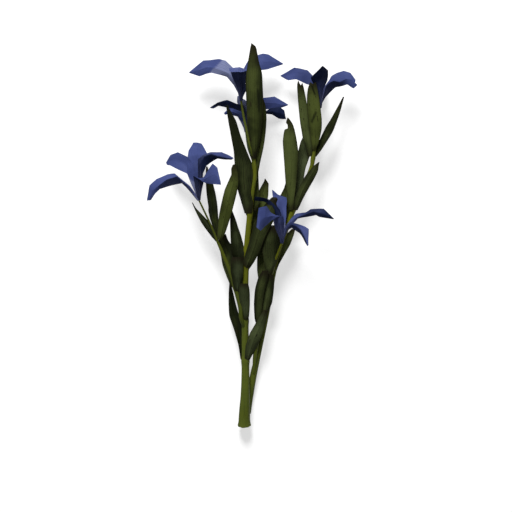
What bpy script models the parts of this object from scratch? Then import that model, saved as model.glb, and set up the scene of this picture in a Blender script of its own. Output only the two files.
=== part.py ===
"""A cut gentian, laid on its back: branching stems with narrow leaves and five blue flowers.

+Y runs up the plant from the cut foot to the top leaf, +X is to the right, and +Z is away
from the surface that it lies on. All design sizes below are in millimetres.
"""

import math

import bpy
from mathutils import Quaternion, Vector

MM = 0.001
GAP = 0.3  # air between two pieces that touch
SHARP_ANGLE = math.radians(40)  # edges sharper than this stay sharp in the smooth shading

# Stems: a round rod through these points, each (x, y, z, radius).
STEMS = {
    "front_stem": [
        (-5.5, -132.0, 4.7, 4.6),
        (-5.5, -128.0, 5.5, 4.2),
        (-5.1, -120.0, 7.3, 3.7),
        (-4.7, -112.0, 8.0, 3.1),
        (-4.6, -94.0, 9.0, 2.5),
        (-4.9, -60.0, 11.5, 2.4),
        (-4.9, -33.0, 14.0, 2.3),
        (-3.9, -10.0, 16.5, 2.0),
        (-1.4, 12.0, 19.0, 1.7),
        (1.4, 37.0, 22.0, 1.6),
        (1.4, 54.0, 24.0, 1.3),
    ],
    "right_stem": [
        (-2.1, -122.5, 1.9, 1.6),
        (-1.4, -114.0, 2.5, 2.2),
        (1.0, -98.0, 4.2, 2.4),
        (5.8, -80.0, 6.0, 1.8),
        (9.8, -59.0, 8.0, 1.5),
        (13.2, -40.0, 9.5, 1.5),
        (17.5, -16.0, 11.5, 1.4),
        (27.5, 16.0, 14.5, 1.4),
        (40.6, 44.5, 17.0, 1.3),
        (44.2, 60.0, 18.0, 1.1),
        (46.0, 75.0, 18.3, 0.8),
        (47.5, 88.8, 18.0, 0.7),
    ],
    "inner_stem": [
        (0.9, -93.0, 8.2, 1.0),
        (2.3, -83.0, 9.4, 1.4),
        (4.6, -66.0, 11.0, 1.4),
        (8.2, -47.0, 13.5, 1.3),
        (14.6, -23.0, 16.5, 1.1),
        (18.0, -13.0, 19.0, 0.9),
        (20.9, -5.8, 21.8, 0.7),
    ],
    "left_branch": [
        (-7.4, -60.5, 14.4, 1.2),
        (-9.0, -48.0, 15.6, 1.7),
        (-14.7, -27.5, 16.8, 1.5),
        (-21.0, -11.5, 17.8, 1.2),
        (-24.4, -3.5, 18.5, 1.0),
        (-28.5, 6.5, 19.6, 0.7),
        (-36.8, 24.0, 21.8, 0.6),
    ],
    "top_stalk": [
        (0.9, 54.6, 25.0, 0.6),
        (-2.2, 63.5, 24.6, 0.7),
        (-5.8, 82.0, 21.5, 0.7),
        (-7.6, 93.7, 20.0, 0.7),
    ],
    "rear_stalk": [
        (1.0, 54.6, 23.2, 0.6),
        (-1.0, 62.0, 19.0, 0.6),
        (-4.1, 72.0, 13.1, 0.6),
    ],
}

# Leaves: (stem, height of the foot, side of the stem in degrees with 0 right, 90 front and
# 270 back, tip, width, bow to the right, how far the middle lifts off the surface).
LEAVES = [
    ("front_stem", -88.0, 185.0, (-16.1, -33.5, 8.5), 6.4, 0.0, -1.0),
    ("front_stem", -87.5, 40.0, (10.5, -51.5, 18.0), 6.6, 0.0, 0.5),
    ("front_stem", -59.5, 75.0, (-4.9, -32.5, 19.5), 6.6, 1.0, 0.5),
    ("front_stem", -23.5, 55.0, (11.2, 20.5, 24.0), 9.0, 2.0, 1.0),
    ("front_stem", -18.5, 170.0, (-14.4, 17.0, 17.5), 5.6, -1.0, 0.0),
    ("front_stem", -10.5, 350.0, (9.5, 39.5, 15.0), 7.5, 3.0, -1.5),
    ("front_stem", 15.0, 150.0, (-17.5, 90.0, 24.0), 8.0, 2.0, 1.5),
    ("front_stem", 14.0, 205.0, (-11.2, 53.0, 17.0), 7.0, -0.5, -1.0),
    ("front_stem", 16.0, 335.0, (4.2, 50.0, 18.5), 5.0, 0.0, -1.0),
    ("front_stem", 51.0, 70.0, (1.0, 134.5, 36.0), 12.6, 0.8, 3.0),
    ("front_stem", 44.0, 330.0, (4.2, 102.5, 27.0), 9.4, 2.0, 0.0),
    ("left_branch", -40.0, 20.0, (-8.4, -15.8, 20.5), 5.6, 0.0, 0.5),
    ("left_branch", -30.0, 265.0, (-18.9, 1.0, 13.0), 5.6, 0.5, -0.5),
    ("left_branch", -36.0, 185.0, (-23.0, -7.0, 13.0), 4.4, -1.5, 0.0),
    ("left_branch", -4.0, 70.0, (-12.6, 49.5, 29.0), 8.4, 0.5, 1.0),
    ("left_branch", -2.5, 265.0, (-31.9, 48.5, 9.5), 6.6, 0.0, -1.0),
    ("left_branch", -6.5, 175.0, (-41.3, 21.7, 17.0), 5.0, -0.3, 0.0),
    ("inner_stem", -62.0, 115.0, (9.0, -23.5, 21.0), 6.2, -1.5, 1.0),
    ("inner_stem", -56.5, 30.0, (11.2, -30.5, 18.3), 7.2, 0.2, 0.1),
    ("inner_stem", -45.0, 235.0, (5.6, -6.7, 9.0), 4.6, 0.0, -0.5),
    ("inner_stem", -25.5, 130.0, (12.6, 9.5, 20.5), 7.7, -0.5, 0.5),
    ("right_stem", -25.5, 345.0, (30.3, 4.8, 12.0), 5.6, 0.0, 0.0),
    ("right_stem", 0.5, 205.0, (24.5, 40.0, 9.5), 5.6, -0.5, -0.5),
    ("right_stem", 20.0, 140.0, (25.6, 82.0, 23.0), 10.8, 0.8, 1.0),
    ("right_stem", 19.0, 245.0, (44.1, 83.0, 11.5), 7.7, 0.0, -1.0),
    ("right_stem", 18.0, 25.0, (47.3, 51.0, 21.5), 7.2, -0.3, 1.0),
    ("right_stem", 54.0, 178.0, (33.6, 106.5, 21.0), 6.8, -1.0, -0.5),
    ("right_stem", 60.0, 90.0, (41.3, 106.5, 28.0), 9.8, 1.5, 1.5),
    ("right_stem", 54.5, 340.0, (64.4, 96.3, 20.0), 5.2, -0.5, 0.0),
]

LEAF_THICK = 0.9  # at the midrib; the edges are thinner
LEAF_FOLD = 0.22  # rise of each edge over half of the width
LEAF_FOOT_GAP = GAP + 0.2  # leaves room for the edges, which bend towards the stem
LEAF_UNROLL = 0.4  # share of a leaf over which it turns from the stem's side to lie flat
LEAF_STEPS = 10

# Flowers: the narrow foot of the flower, the way that it points, and its five petals in
# order round it, from the right over the back. A petal is its width, the rise of its edges
# over half of the width, and three points from the flower's foot: shoulder, crest and tip,
# each with how far its inner face leans to +Z.
FLOWERS = {
    "left_flower": (
        (-37.1, 24.5, 22.0),
        (-0.10, 0.94, 0.33),
        [
            (12.0, 0.9, (3.5, 21.5, 1.5, -0.3), (10.0, 29.5, 3.0, -0.6), (24.0, 29.0, 1.0, 0.2)),
            (12.5, 0.4, (-1.5, 22.0, -7.0, 0.0), (-1.5, 39.5, -15.0, 0.5), (-1.0, 40.0, -21.5, 0.0)),
            (13.5, 0.3, (-8.0, 20.5, -1.5, 0.5), (-15.5, 28.0, -6.0, 1.0), (-23.0, 26.0, -12.0, 1.0)),
            (12.0, 0.9, (-12.0, 12.5, 7.0, 0.0), (-23.5, 14.5, 9.0, -0.4), (-35.0, 0.5, 9.0, 0.8)),
            (14.0, 0.3, (1.0, 12.5, 7.0, -0.5), (9.0, 18.0, 17.0, 1.5), (15.5, 11.0, 27.0, 2.0)),
        ],
    ),
    "top_flower": (
        (-7.7, 94.2, 20.0),
        (-0.05, 0.93, 0.35),
        [
            (11.5, 0.4, (6.5, 19.0, 0.25, 0.3), (17.0, 27.5, -3.0, 1.2), (29.0, 26.3, -6.0, 1.2)),
            (12.0, 0.4, (3.5, 19.0, -7.6, 0.3), (10.0, 31.0, -12.0, 0.8), (12.0, 31.0, -18.0, 0.5)),
            (13.5, 0.4, (-6.5, 16.5, -1.0, 0.2), (-19.0, 24.0, -3.0, 1.2), (-36.4, 20.0, -3.0, 1.2)),
            (11.0, 0.4, (-2.0, 14.0, 5.5, -0.5), (-2.0, 20.0, 12.0, -1.5), (-1.5, 19.5, 25.0, -1.0)),
            (8.0, 0.3, (3.0, 9.5, 6.5, 0.0), (7.0, 11.5, 10.0, 0.3), (9.5, 4.0, 9.0, 0.3)),
        ],
    ),
    "rear_flower": (
        (-4.2, 72.5, 13.0),
        (0.0, 0.97, 0.15),
        [
            (10.0, 0.4, (5.5, 14.0, 0.5, 0.5), (15.0, 21.0, -2.0, 1.2), (29.4, 19.3, -4.0, 1.2)),
            (10.0, 0.4, (-0.5, 16.0, -6.0, 0.5), (-2.0, 24.5, -9.5, 0.5), (-1.5, 22.0, -12.5, 0.5)),
            (9.0, 0.4, (-5.0, 14.0, -0.5, -0.3), (-12.0, 20.5, 0.5, -1.0), (-25.0, 17.5, 2.0, -1.0)),
            (8.2, 0.3, (-3.0, 9.3, 5.0, 0.3), (-9.0, 14.0, 7.0, 1.0), (-15.0, 13.2, 5.6, 0.5)),
            (9.5, 0.4, (6.0, 8.5, 3.5, -0.5), (18.0, 14.5, 3.0, -1.2), (28.0, 9.5, 2.0, -1.0)),
        ],
    ),
    "low_flower": (
        (21.0, -5.3, 22.0),
        (-0.05, 0.90, 0.40),
        [
            (10.5, 0.4, (7.5, 16.5, -0.5, 0.6), (22.0, 21.5, 0.0, -0.3), (35.7, 16.8, 2.0, -0.8)),
            (10.0, 0.4, (0.5, 18.0, -6.0, 0.3), (-0.5, 28.0, -8.5, 0.8), (-6.5, 37.0, -10.0, 0.8)),
            (8.0, 0.4, (-2.5, 18.5, 0.0, -0.5), (-9.5, 28.5, 0.0, -0.8), (-19.6, 30.8, 1.0, -0.8)),
            (13.0, 0.3, (-5.0, 16.0, 7.0, 0.3), (-12.5, 20.0, 16.0, 1.8), (-15.4, 9.1, 24.0, 2.0)),
            (10.8, 0.5, (5.0, 12.6, 5.6, -0.5), (13.5, 10.3, 14.2, 0.5), (17.5, -1.8, 20.0, 0.8)),
        ],
    ),
    "right_flower": (
        (47.6, 89.3, 18.0),
        (0.0, 0.95, 0.30),
        [
            (12.0, 0.5, (7.5, 14.0, 1.0, 0.2), (17.0, 20.0, 2.0, 0.9), (26.0, 15.4, 3.0, 0.9)),
            (10.0, 0.4, (-0.5, 14.0, -6.5, 0.3), (-1.0, 21.0, -11.5, 0.5), (-1.0, 18.0, -17.4, 0.5)),
            (12.5, 0.4, (-5.0, 16.0, -2.0, 0.3), (-15.0, 22.5, -4.0, 1.2), (-27.3, 22.8, -7.0, 1.2)),
            (6.5, 0.3, (-2.0, 8.0, 5.0, 0.0), (-5.0, 10.0, 5.0, 0.0), (-7.0, 3.0, 3.0, 0.0)),
            (12.0, 0.4, (-0.5, 14.0, 6.5, -0.3), (-0.5, 21.0, 12.0, -1.5), (1.4, 28.0, 20.0, -1.2)),
        ],
    ),
}

PETAL_THICK = 0.7
PETAL_STEPS = 11
PETAL_FOOT_WIDTH, PETAL_TIP_WIDTH = 0.09, 0.08  # over the petal's greatest width
PETAL_CLAW, PETAL_SHOULDERS = 0.60, 0.80  # shares of the length: the width is full between
CLAW_SWELL = 2.5  # higher keeps the claw narrow for longer
TUBE_FOOT = 1.15  # distance of a petal's foot from the flower's axis
TUBE_OUT, TUBE_UP = 2.5, 7.0  # where the petals run through the tube
TUBE_TURN = -20.0  # degrees that each petal is turned at its foot, to pass its neighbour
TUBE_SHARE = 0.5  # share of a petal's length in which that turn fades out
FIRST_PETAL = 10.0  # degrees round the flower

EDGE_THICK = 0.45  # of a leaf's or petal's middle
BLADE_REACH = 2  # steps over which a blade's direction is taken, so that bends stay open

FOOT_SLANT = 0.6  # slope of the cut at the foot
STEM_SIDES = 10
STEM_STEP = 6.0  # length of stem between two rings


def clear_scene():
    for obj in list(bpy.data.objects):
        bpy.data.objects.remove(obj, do_unlink=True)


def material(name, colour, roughness):
    made = bpy.data.materials.new(name)
    made.use_nodes = True
    shader = made.node_tree.nodes["Principled BSDF"]
    shader.inputs["Base Color"].default_value = (*colour, 1.0)
    shader.inputs["Roughness"].default_value = roughness
    shader.inputs["Metallic"].default_value = 0.0
    made.diffuse_color = (*colour, 1.0)
    return made


def add_object(name, points, faces, made_of):
    mesh = bpy.data.meshes.new(name)
    mesh.from_pydata([Vector(point) * MM for point in points], [], faces)
    mesh.shade_smooth()
    mesh.set_sharp_from_angle(angle=SHARP_ANGLE)
    obj = bpy.data.objects.new(name, mesh)
    obj.data.materials.append(made_of)
    bpy.context.scene.collection.objects.link(obj)
    return obj


def curve_point(points, position):
    """The value at position, 0 to len(points) - 1, of a smooth curve through the points."""
    last = len(points) - 1
    index = min(int(position), last - 1)
    t = position - index
    b, c = points[index], points[index + 1]
    a = points[index - 1] if index else [2 * p - q for p, q in zip(b, c)]
    d = points[index + 2] if index + 2 <= last else [2 * q - p for p, q in zip(b, c)]
    return [
        q + 0.5 * t * (r - p + t * (2 * p - 5 * q + 4 * r - s + t * (3 * (q - r) + s - p)))
        for p, q, r, s in zip(a, b, c, d)
    ]


def even_samples(points, steps):
    """Values of the curve at equal distances along it, measured on its first three numbers."""
    fine = [curve_point(points, i * (len(points) - 1) / 200) for i in range(201)]
    run = [0.0]
    for before, after in zip(fine, fine[1:]):
        run.append(run[-1] + math.dist(before[:3], after[:3]))
    samples = []
    for i in range(steps + 1):
        wanted = run[-1] * i / steps
        j = min(sum(1 for r in run[1:] if r < wanted), len(fine) - 2)
        t = (wanted - run[j]) / (run[j + 1] - run[j])
        samples.append([p + (q - p) * t for p, q in zip(fine[j], fine[j + 1])])
    return samples


def tangents(places, reach=1):
    """The way the path runs at each place, measured over reach steps on either side."""
    last = len(places) - 1
    return [
        (places[min(i + reach, last)] - places[max(i - reach, 0)]).normalized()
        for i in range(last + 1)
    ]


def square_to(direction, along):
    """The part of a direction that is square to another one, as a unit vector."""
    return (direction - along * direction.dot(along)).normalized()


def rod(name, points, slant, made_of):
    """A stem: rings round a smooth path, closed with a flat face at each end.

    slant tilts the lower end, as a sloping cut does."""
    length = sum(math.dist(a[:3], b[:3]) for a, b in zip(points, points[1:]))
    samples = even_samples(points, max(5, round(length / STEM_STEP)))
    places = [Vector(sample[:3]) for sample in samples]
    vertices, faces = [], []
    for place, along, sample in zip(places, tangents(places), samples):
        side = square_to(Vector((1, 0, 0)), along)
        up = side.cross(along)
        slope = along * slant if not vertices else Vector()
        for k in range(STEM_SIDES):
            turn = 2 * math.pi * k / STEM_SIDES
            outward = side * math.cos(turn) + (up - slope) * math.sin(turn)
            vertices.append(place + outward * sample[3])
    for i in range(len(samples) - 1):
        for k in range(STEM_SIDES):
            here, after = i * STEM_SIDES + k, i * STEM_SIDES + (k + 1) % STEM_SIDES
            faces.append((here, here + STEM_SIDES, after + STEM_SIDES, after))
    faces.append(tuple(range(STEM_SIDES)))
    first_of_last = (len(samples) - 1) * STEM_SIDES
    faces.append(tuple(first_of_last + k for k in reversed(range(STEM_SIDES))))
    return add_object(name, vertices, faces, made_of)


def blade(name, places, widths, inner_faces, fold, thick, made_of):
    """A leaf or petal: a thin solid along a spine, folded up along its midrib.

    inner_faces holds, at each place, the way that the inner face looks, and fold is the rise
    of each edge over half of the width."""
    vertices, faces = [], []
    ways = tangents(places, BLADE_REACH)
    for place, along, width, inner in zip(places, ways, widths, inner_faces):
        inner = square_to(inner, along)
        side = inner.cross(along)
        lift = inner * (fold * width / 2)
        edge_thick = thick * EDGE_THICK
        for across, depth in ((-1, edge_thick), (0, thick), (1, edge_thick)):
            middle = place + side * (across * width / 2) + lift * (abs(across) - 0.5)
            vertices.append(middle + inner * depth / 2)
            vertices.append(middle - inner * depth / 2)
    # The section's points in order: along the inner face, then back along the outer one. The
    # two faces are split along the same diagonals, so that a twisted blade keeps its thickness.
    ring = (0, 2, 4, 5, 3, 1)
    outer_face = (3, 4)
    for i in range(len(places) - 1):
        for k in range(6):
            a, b = i * 6 + ring[k], i * 6 + ring[(k + 1) % 6]
            if k in outer_face:
                faces += [(a, a + 6, b), (a + 6, b + 6, b)]
            else:
                faces += [(a, a + 6, b + 6), (a, b + 6, b)]
    last = (len(places) - 1) * 6
    faces.append(ring)
    faces.append(tuple(last + k for k in reversed(ring)))
    return add_object(name, vertices, faces, made_of)


def on_stem(stem, height):
    """Centre, radius and direction of a stem where its y is the given height."""
    samples = even_samples(STEMS[stem], 120)
    j = max(i for i in range(120) if i == 0 or samples[i][1] <= height)
    low, high = samples[j], samples[j + 1]
    t = (height - low[1]) / (high[1] - low[1])
    x, y, z, radius = (p + (q - p) * t for p, q in zip(low, high))
    return Vector((x, y, z)), radius, (Vector(high[:3]) - Vector(low[:3])).normalized()


def leaf_width(s):
    """Width of a leaf over its greatest width, s = 0 at the foot and 1 at the tip."""
    return 0.28 * (1 - s) ** 6 + 0.93 * math.sin(math.pi * s**0.92) ** 0.65 + 0.07


def leaf(name, stem, height, side, tip, width, bow, lift, made_of):
    centre, radius, along = on_stem(stem, height)
    turn = math.radians(side)
    outward = square_to(Vector((math.cos(turn), 0, math.sin(turn))), along)
    foot = centre + outward * (radius + LEAF_FOOT_GAP + LEAF_THICK / 2)
    tip = Vector(tip)
    middle = (foot + tip) / 2 + Vector((bow, 0, lift))
    spine = [tuple(foot), tuple(middle), tuple(tip)]
    places = [Vector(place) for place in even_samples(spine, LEAF_STEPS)]
    shares = [i / LEAF_STEPS for i in range(LEAF_STEPS + 1)]
    widths = [width * leaf_width(s) for s in shares]
    flat = Vector((0, 0, -1 if outward.z > 0 else 1))
    inner_faces = [flat.lerp(-outward, max(0.0, 1 - s / LEAF_UNROLL)) for s in shares]
    return blade(name, places, widths, inner_faces, LEAF_FOLD, LEAF_THICK, made_of)


def petal_width(s):
    """Width of a petal over its greatest width: a narrow claw, a broad limb, a pointed tip."""
    if s < PETAL_CLAW:
        swell = math.sin(math.pi / 2 * s / PETAL_CLAW) ** CLAW_SWELL
        return PETAL_FOOT_WIDTH + (1 - PETAL_FOOT_WIDTH) * swell
    taper = (1 - s) / (1 - PETAL_SHOULDERS)
    return min(1.0, PETAL_TIP_WIDTH + (1 - PETAL_TIP_WIDTH) * taper)


def petal(name, foot, axis, ring_turn, width, fold, shoulder, crest, tip, made_of):
    foot, axis = Vector(foot), Vector(axis).normalized()
    right = square_to(Vector((1, 0, 0)), axis)
    back = axis.cross(right)
    outward = right * math.cos(ring_turn) + back * math.sin(ring_turn)
    start = outward * TUBE_FOOT
    through = axis * TUBE_UP + outward * TUBE_OUT
    points = [(*start, 0.0), (*through, 0.0), shoulder, crest, tip]
    samples = even_samples(points, PETAL_STEPS)
    places = [foot + Vector(sample[:3]) for sample in samples]
    shares = [i / PETAL_STEPS for i in range(PETAL_STEPS + 1)]
    widths = [width * petal_width(s) for s in shares]
    limb_out = square_to(Vector(crest[:3]) + Vector(tip[:3]), axis)
    inner_faces = []
    for s, along, sample in zip(shares, tangents(places, BLADE_REACH), samples):
        radial = outward.lerp(limb_out, min(1.0, s / TUBE_SHARE)).normalized()
        inner = along.cross(axis.cross(radial)).normalized()
        turned = Quaternion(along, math.radians(TUBE_TURN) * max(0.0, 1 - s / TUBE_SHARE))
        inner_faces.append(turned @ inner + Vector((0, 0, sample[3])))
    return blade(name, places, widths, inner_faces, fold, PETAL_THICK, made_of)


def build():
    clear_scene()
    stem_green = material("stem_green", (0.066, 0.078, 0.007), 0.5)
    leaf_green = material("leaf_green", (0.036, 0.047, 0.014), 0.55)
    petal_blue = material("petal_blue", (0.050, 0.070, 0.200), 0.6)
    for name, points in STEMS.items():
        rod(name, points, FOOT_SLANT if name == "front_stem" else 0.0, stem_green)
    counted = dict.fromkeys(STEMS, 0)
    for stem, *shape in LEAVES:
        counted[stem] += 1
        leaf(f"{stem}_leaf_{counted[stem]}", stem, *shape, leaf_green)
    for flower, (foot, axis, petals) in FLOWERS.items():
        for k, shape in enumerate(petals):
            ring_turn = math.radians(FIRST_PETAL + 360 / len(petals) * k)
            name = f"{flower}_petal_{k + 1}"
            petal(name, foot, axis, ring_turn, *shape, petal_blue)


build()
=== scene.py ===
"""A cut gentian laid on its back on a pale surface: branching stems, narrow leaves and five
open blue flowers. +Y runs up the plant, +X is to the right and +Z points up from the surface."""

import math

import bpy
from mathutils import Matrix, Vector


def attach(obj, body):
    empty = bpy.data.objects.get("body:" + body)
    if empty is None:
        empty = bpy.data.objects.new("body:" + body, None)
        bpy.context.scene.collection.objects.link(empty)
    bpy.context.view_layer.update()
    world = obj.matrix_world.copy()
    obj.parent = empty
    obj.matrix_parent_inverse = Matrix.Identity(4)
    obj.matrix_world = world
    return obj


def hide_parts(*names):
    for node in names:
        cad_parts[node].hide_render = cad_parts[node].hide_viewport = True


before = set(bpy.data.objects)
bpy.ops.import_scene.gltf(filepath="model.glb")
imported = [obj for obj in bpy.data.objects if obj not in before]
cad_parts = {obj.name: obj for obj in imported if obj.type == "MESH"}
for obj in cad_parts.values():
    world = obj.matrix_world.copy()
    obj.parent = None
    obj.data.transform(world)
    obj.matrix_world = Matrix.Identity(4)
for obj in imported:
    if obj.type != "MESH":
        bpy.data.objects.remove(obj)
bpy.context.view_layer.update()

# ---- Stems -------------------------------------------------------------------------------
# Fresh, juicy stems, round with faint ribs, thickest at the slanting cut and a little
# swollen where leaves sit. The branches and the flower stalks grow out of one another.

MM = 0.001
STEM_SIDES = 28
STEM_STEP = 1.5  # mm of stem between two rings
RIBS, RIB_DEPTH = 7, 0.03  # the depth is a share of the radius
JOINT_SWELL, JOINT_LENGTH = 0.16, 2.4  # more radius where leaves sit, over mm of stem
FOOT_SLANT = 0.35  # slope of the cut
FRAYED_RINGS, FOOT_FRAY = 2, 0.05  # rings at the cut that are uneven, and by what share
FRAY_WAVES, FRAY_SHIFT, FRAY_SHIFTS = 5, 2, 3  # round the rim, moved to and fro as they go
PITH_RING = 0.55  # place of the ring inside an end's rim, as a share of its radius
FINE_STEPS = 300  # short steps by which a curve is measured
SHARP_FOLD = math.radians(32)  # a bend of more than this shows as a crease

# Each point is (x, y, z, radius) in mm.
STEMS = {
    "front_stem": [
        (-5.5, -133.4, 5.5, 4.7), (-5.5, -131.2, 5.6, 4.2), (-5.5, -128, 5.9, 4), (-5.1, -120, 7.3, 3.75),
        (-4.8, -112, 8, 3.3), (-4.7, -94, 9, 2.7), (-4.9, -60, 11.5, 2.4), (-4.9, -33, 14, 2.4),
        (-3.8, -10, 16.5, 2.1), (-2, 10, 18.8, 2), (0.1, 30, 21.2, 1.7), (2, 42, 22.5, 1.5),
        (1, 54, 24, 1.4),
    ],
    "right_stem": [
        (-2.2, -125.5, 2.6, 1.3), (-1.5, -114, 2.7, 2.2), (1, -98, 4.2, 2.4), (5.2, -80, 6, 1.8),
        (9.8, -59, 8, 1.5), (13.2, -40, 9.5, 1.5), (17.5, -16, 11.5, 1.4), (28.2, 16, 14.5, 1.75),
        (40.4, 44.5, 17, 1.4), (42.6, 53.5, 17.6, 1.5), (43.6, 60, 18, 1.2), (46, 75, 18.3, 0.8),
        (47.5, 89.5, 18, 0.7),
    ],
    "inner_stem": [
        (1.2, -97, 6.2, 0.9), (2.2, -83, 9.4, 1.5), (4.8, -66, 11, 1.5), (8.2, -47, 13.5, 1.3),
        (14.6, -23, 16.5, 1.1), (18, -13, 19, 0.9), (21.1, -4.8, 22.1, 0.7),
    ],
    "left_branch": [
        (-5.4, -64.5, 12.4, 1.1), (-7.6, -58, 14.6, 1.5), (-8.7, -48, 15.6, 1.6), (-14.7, -27.5, 16.8, 1.5),
        (-21, -11.5, 17.8, 1.2), (-24.4, -3.5, 18.5, 0.85), (-28.5, 6.5, 19.6, 0.7), (-37.1, 24.8, 22, 0.6),
    ],
    "top_stalk": [
        (1.3, 51, 24.2, 0.7), (-1.6, 63.5, 27.2, 0.85), (-5.6, 82, 22.6, 0.85), (-7.7, 94.6, 20, 0.7),
    ],
    "rear_stalk": [
        (0.6, 52, 23, 0.7), (-2.4, 61.5, 20, 0.9), (-4.3, 72.9, 13, 0.6),
    ],
}
# Painted shade: how far a shadowed stem's skin is mixed with dark green, 0 where it isn't named.
STEM_PAINTED_SHADES = {"left_branch": 0.52, "top_stalk": 0.6, "rear_stalk": 1.0}
# Where leaves sit on each stem, as y in mm.
JOINTS = {
    "front_stem": (-88, -60, -21, -10.5, 15, 48),
    "right_stem": (-26, 0.5, 19.5, 54.5, 60),
    "inner_stem": (-59.5, -45, -25.5),
    "left_branch": (-36, -3.5),
}


def curve_point(points, position):
    """The value at position, 0 to len(points) - 1, of a smooth curve through the points."""
    last = len(points) - 1
    index = min(int(position), last - 1)
    t = position - index
    b, c = points[index], points[index + 1]
    a = points[index - 1] if index else [2 * p - q for p, q in zip(b, c)]
    d = points[index + 2] if index + 2 <= last else [2 * q - p for p, q in zip(b, c)]
    return [
        q + 0.5 * t * (r - p + t * (2 * p - 5 * q + 4 * r - s + t * (3 * (q - r) + s - p)))
        for p, q, r, s in zip(a, b, c, d)
    ]


def even_samples(points, steps):
    """Values of the curve at equal distances along it, measured on its first three numbers."""
    last = len(points) - 1
    fine = [curve_point(points, i * last / FINE_STEPS) for i in range(FINE_STEPS + 1)]
    run = [0.0]
    for before, after in zip(fine, fine[1:]):
        run.append(run[-1] + math.dist(before[:3], after[:3]))
    samples, j = [], 0
    for i in range(steps + 1):
        wanted = run[-1] * i / steps
        while j < len(fine) - 2 and run[j + 1] < wanted:
            j += 1
        t = (wanted - run[j]) / (run[j + 1] - run[j])
        samples.append([p + (q - p) * t for p, q in zip(fine[j], fine[j + 1])])
    return samples


def tangents(places):
    """The way the path runs at each place."""
    last = len(places) - 1
    return [
        (places[min(i + 1, last)] - places[max(i - 1, 0)]).normalized() for i in range(last + 1)
    ]


def square_to(direction, along):
    """The part of a direction that is square to another one, as a unit vector."""
    return (direction - along * direction.dot(along)).normalized()


def grown(name, points, faces, materials, face_materials, numbers, node):
    """Makes a smooth piece from points in mm and hands it to the frame."""
    mesh = bpy.data.meshes.new(name)
    mesh.from_pydata([point * MM for point in points], [], faces)
    for label, values in numbers.items():
        mesh.attributes.new(label, "FLOAT", "POINT").data.foreach_set("value", values)
    mesh.shade_smooth()
    mesh.set_sharp_from_angle(angle=SHARP_FOLD)
    for made_of in materials:
        mesh.materials.append(made_of)
    mesh.polygons.foreach_set("material_index", face_materials)
    piece = bpy.data.objects.new(name, mesh)
    bpy.context.scene.collection.objects.link(piece)
    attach(piece, "root")
    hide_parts(node)


def set_inputs(tree, made, inputs):
    """Gives a shader node its inputs, as values or as other sockets."""
    for socket, value in inputs.items():
        if isinstance(value, bpy.types.NodeSocket):
            tree.links.new(value, made.inputs[socket])
        else:
            made.inputs[socket].default_value = value


def add_node(tree, kind, inputs, **settings):
    """A shader node with its settings and inputs."""
    made = tree.nodes.new("ShaderNode" + kind)
    for label, value in settings.items():
        setattr(made, label, value)
    set_inputs(tree, made, inputs)
    return made


def calculate(tree, operation, *values):
    return add_node(tree, "Math", dict(enumerate(values)), operation=operation).outputs[0]


def mixed(tree, share, first, second):
    """Two colours mixed by a share from 0 to 1."""
    inputs = {0: share, 6: first, 7: second}
    return add_node(tree, "Mix", inputs, data_type="RGBA").outputs[2]


def ramp(tree, value, low, high, start=0.0, end=1.0):
    """A value moved smoothly from one range to another."""
    inputs = {"Value": value, "From Min": low, "From Max": high, "To Min": start, "To Max": end}
    return add_node(tree, "MapRange", inputs, interpolation_type="SMOOTHSTEP").outputs[0]


def noise(tree, place, scale, detail, stretch=(1, 1, 1)):
    moved = add_node(tree, "Mapping", {"Vector": place, "Scale": stretch}).outputs[0]
    inputs = {"Vector": moved, "Scale": scale, "Detail": detail}
    return add_node(tree, "TexNoise", inputs).outputs[0]


def number(tree, label):
    """A number stored on the points of the piece, such as its place along the leaf."""
    return add_node(tree, "Attribute", {}, attribute_name=label).outputs["Fac"]


def piece_place(tree):
    """The place on the piece, in metres."""
    return add_node(tree, "TexCoord", {}).outputs["Object"]


def bump(tree, height, strength, distance):
    inputs = {"Height": height, "Strength": strength, "Distance": distance}
    return add_node(tree, "Bump", inputs).outputs[0]


def new_group(name, inputs, outputs):
    """An empty node group, with what leads into it and the node that leads out of it."""
    group = bpy.data.node_groups.new(name, "ShaderNodeTree")
    for label, kind in inputs.items():
        group.interface.new_socket(label, in_out="INPUT", socket_type="NodeSocket" + kind)
    for label in outputs:
        group.interface.new_socket(label, in_out="OUTPUT", socket_type="NodeSocketFloat")
    given = group.nodes.new("NodeGroupInput").outputs
    return group, given, group.nodes.new("NodeGroupOutput")


def mottle_group():
    """Living tissue is never one flat colour: broad clouds and fine specks, as two values."""
    inputs = {"Place": "Vector", "Cloud size": "Float", "Speck size": "Float"}
    group, given, result = new_group("Mottle", inputs, ("Clouds", "Specks"))
    clouds = noise(group, given["Place"], given["Cloud size"], 2.0)
    specks = noise(group, given["Place"], given["Speck size"], 4.0)
    set_inputs(group, result, {
        "Clouds": ramp(group, clouds, 0.35, 0.65),
        "Specks": ramp(group, specks, 0.35, 0.65),
    })
    return group


MOTTLE = mottle_group()


def mottled(tree, cloud_size, speck_size):
    """The clouds and specks of a skin. A larger number makes them smaller."""
    place = piece_place(tree)
    inputs = {"Place": place, "Cloud size": cloud_size, "Speck size": speck_size}
    return add_node(tree, "Group", inputs, node_tree=MOTTLE).outputs


def material(name, paint, *details):
    """A material whose surface is given by what paint makes in its node tree."""
    made = bpy.data.materials.new(name)
    made.use_nodes = True
    tree = made.node_tree
    set_inputs(tree, tree.nodes["Principled BSDF"], paint(tree, *details))
    return made


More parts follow.
